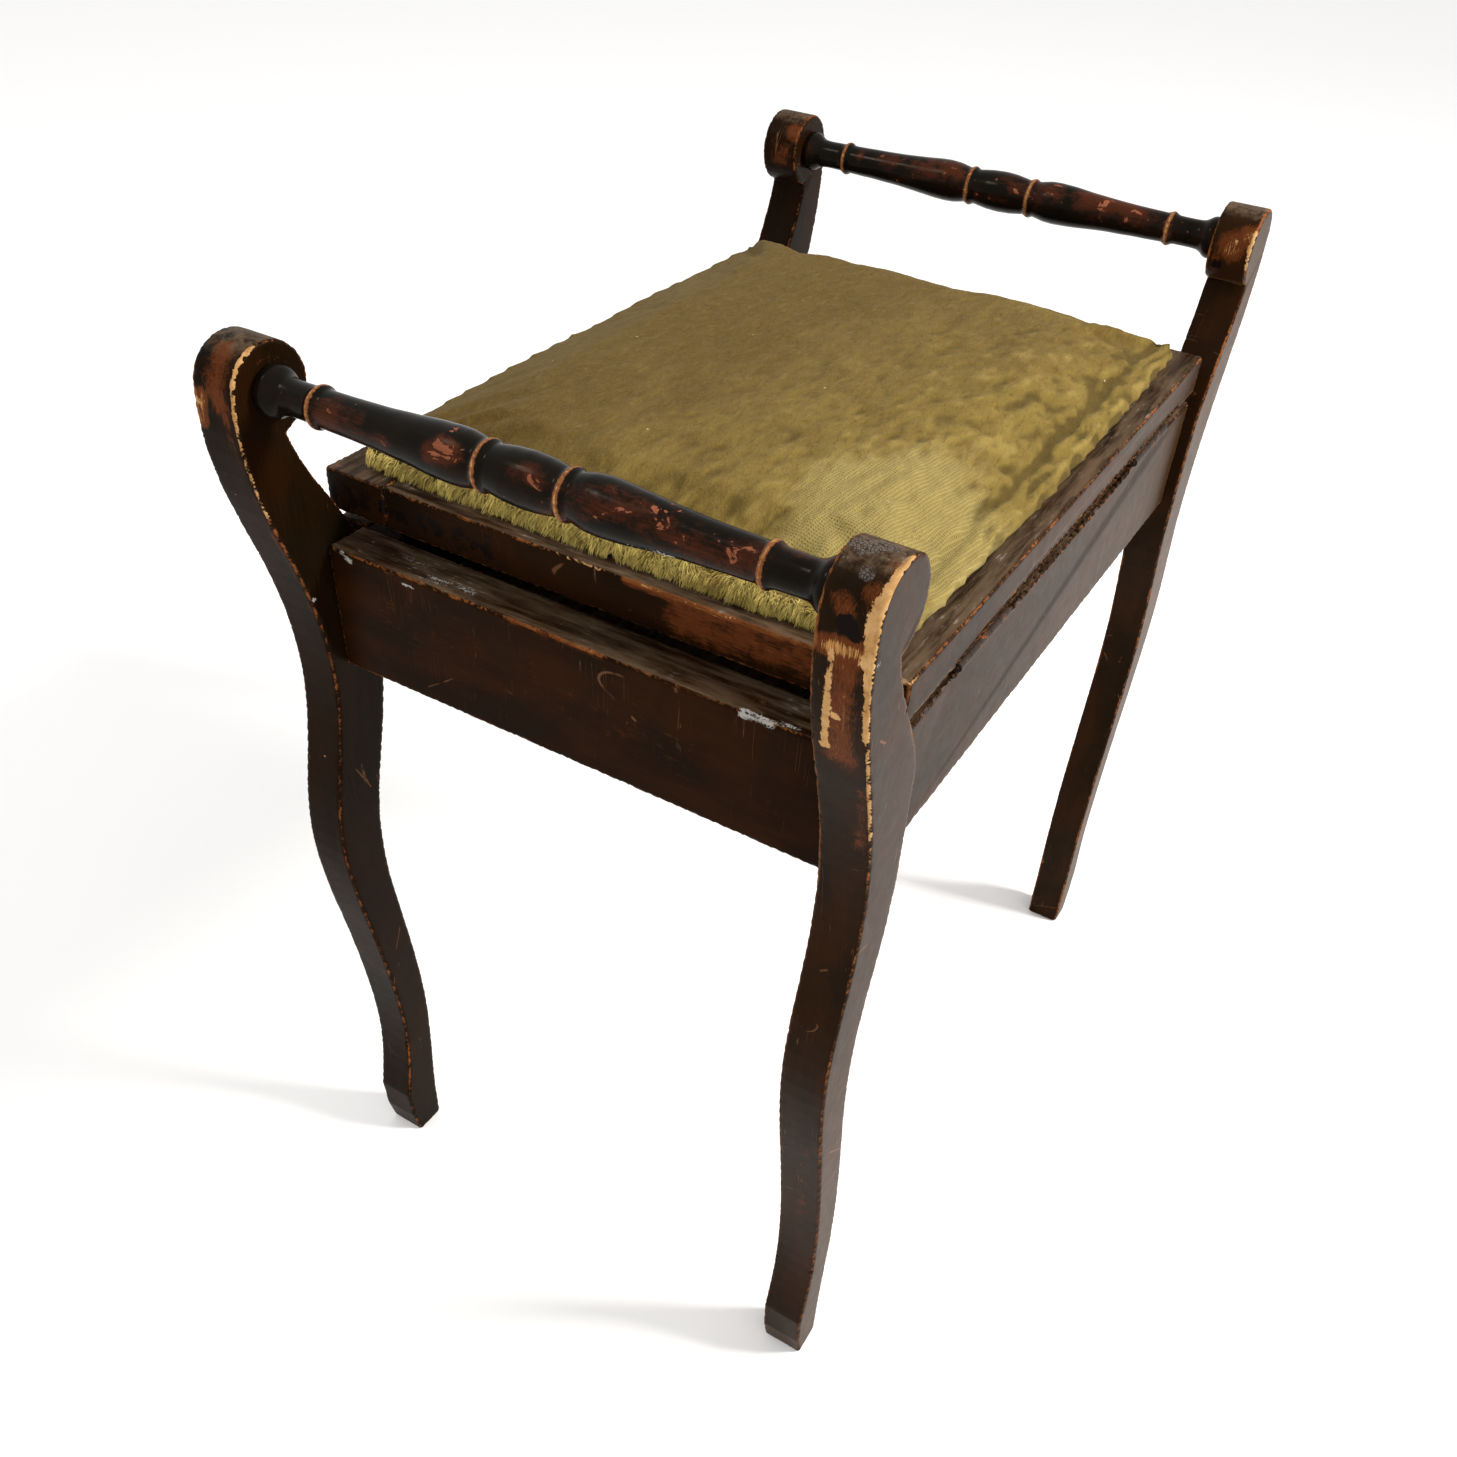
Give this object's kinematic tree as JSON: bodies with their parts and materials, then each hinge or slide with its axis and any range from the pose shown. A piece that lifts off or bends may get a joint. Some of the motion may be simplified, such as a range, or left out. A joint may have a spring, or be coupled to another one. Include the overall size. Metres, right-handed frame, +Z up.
{
  "type": "piano bench",
  "caption": "Piano stool with sawn S-shaped legs ending in scroll heads, turned handles at both ends, and a hinged padded lid over a sheet-music compartment.",
  "frame": {"origin": "on the floor, centred between the four feet", "axes": "+Z up; X along the long side, from handle to handle; +Y towards the hinge side, -Y the side the seat opens from"},
  "size_m": [0.5458, 0.338, 0.584],
  "materials": {
    "lacquered_wood": "dark stained and lacquered, worn to raw wood along the arrises",
    "ebonised_wood": "near-black gloss lacquer over turned wood, worn on the beads",
    "inside_wood": "bare, dusty, unpolished",
    "dowel_wood": "bare",
    "velvet": "worn mustard-olive cotton velvet",
    "hinge_iron": "stained over, dull brown",
    "screw_steel": "dull, a little rusted"
  },
  "bodies": {
    "frame": {"leg_front_right": "lacquered_wood", "dowel_front_right_side_lower": "dowel_wood", "dowel_front_right_side_upper": "dowel_wood", "dowel_front_right_end_lower": "dowel_wood", "dowel_front_right_end_upper": "dowel_wood", "leg_back_right": "lacquered_wood", "dowel_back_right_side_lower": "dowel_wood", "dowel_back_right_side_upper": "dowel_wood", "dowel_back_right_end_lower": "dowel_wood", "dowel_back_right_end_upper": "dowel_wood", "leg_front_left": "lacquered_wood", "dowel_front_left_side_lower": "dowel_wood", "dowel_front_left_side_upper": "dowel_wood", "dowel_front_left_end_lower": "dowel_wood", "dowel_front_left_end_upper": "dowel_wood", "leg_back_left": "lacquered_wood", "dowel_back_left_side_lower": "dowel_wood", "dowel_back_left_side_upper": "dowel_wood", "dowel_back_left_end_lower": "dowel_wood", "dowel_back_left_end_upper": "dowel_wood", "handle_right": "ebonised_wood", "handle_left": "ebonised_wood", "front_rail": "lacquered_wood", "back_rail": "lacquered_wood", "end_rail_right": "lacquered_wood", "end_rail_left": "lacquered_wood", "floor_batten_front": "inside_wood", "floor_batten_back": "inside_wood", "floor_board": "inside_wood", "corner_block_front_right": "inside_wood", "corner_block_back_right": "inside_wood", "corner_block_front_left": "inside_wood", "corner_block_back_left": "inside_wood", "hinge_right_frame_leaf": "hinge_iron", "hinge_right_frame_screw_1": "screw_steel", "hinge_right_frame_screw_2": "screw_steel", "hinge_right_frame_screw_3": "screw_steel", "hinge_right_pin": "hinge_iron", "hinge_left_frame_leaf": "hinge_iron", "hinge_left_frame_screw_1": "screw_steel", "hinge_left_frame_screw_2": "screw_steel", "hinge_left_frame_screw_3": "screw_steel", "hinge_left_pin": "hinge_iron"},
    "lid": {"lid_stile_front": "lacquered_wood", "lid_stile_back": "lacquered_wood", "lid_rail_right": "lacquered_wood", "lid_rail_left": "lacquered_wood", "lid_panel": "inside_wood", "seat_pad": "velvet", "hinge_right_lid_leaf": "hinge_iron", "hinge_right_lid_screw_1": "screw_steel", "hinge_right_lid_screw_2": "screw_steel", "hinge_right_lid_screw_3": "screw_steel", "hinge_left_lid_leaf": "hinge_iron", "hinge_left_lid_screw_1": "screw_steel", "hinge_left_lid_screw_2": "screw_steel", "hinge_left_lid_screw_3": "screw_steel"}
  },
  "joints": [
    {"name": "lid_hinge", "type": "hinge", "parent": "frame", "child": "lid", "pos_m": [0, 0.1607, 0.479], "axis": [-1, 0, 0], "range_deg": [0, 125]}
  ]
}
